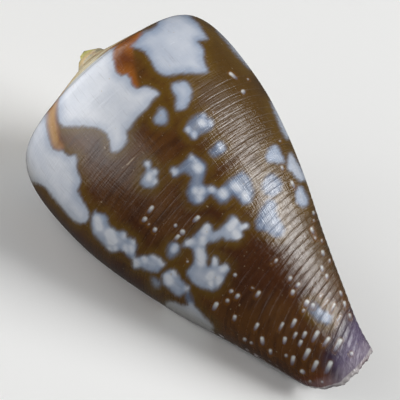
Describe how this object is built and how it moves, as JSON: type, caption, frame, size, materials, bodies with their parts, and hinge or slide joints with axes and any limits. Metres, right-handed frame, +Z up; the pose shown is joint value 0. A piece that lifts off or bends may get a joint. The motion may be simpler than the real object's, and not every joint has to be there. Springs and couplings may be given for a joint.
{
  "type": "cone shell",
  "caption": "Empty brown and white cone shell with a low stepped spire, a rounded shoulder, a tapering body and a long narrow aperture, lying aperture down.",
  "frame": {"origin": "centre of the plan outline, on the surface that the shell lies on", "axes": "+X from the spire towards the siphonal end, +Z up from the resting side to the back, -Y towards the outer lip"},
  "size_m": [0.0498, 0.0272, 0.0266],
  "materials": {
    "shell_wall": "satin"
  },
  "bodies": {
    "root": {"shell": "shell_wall"}
  },
  "joints": []
}
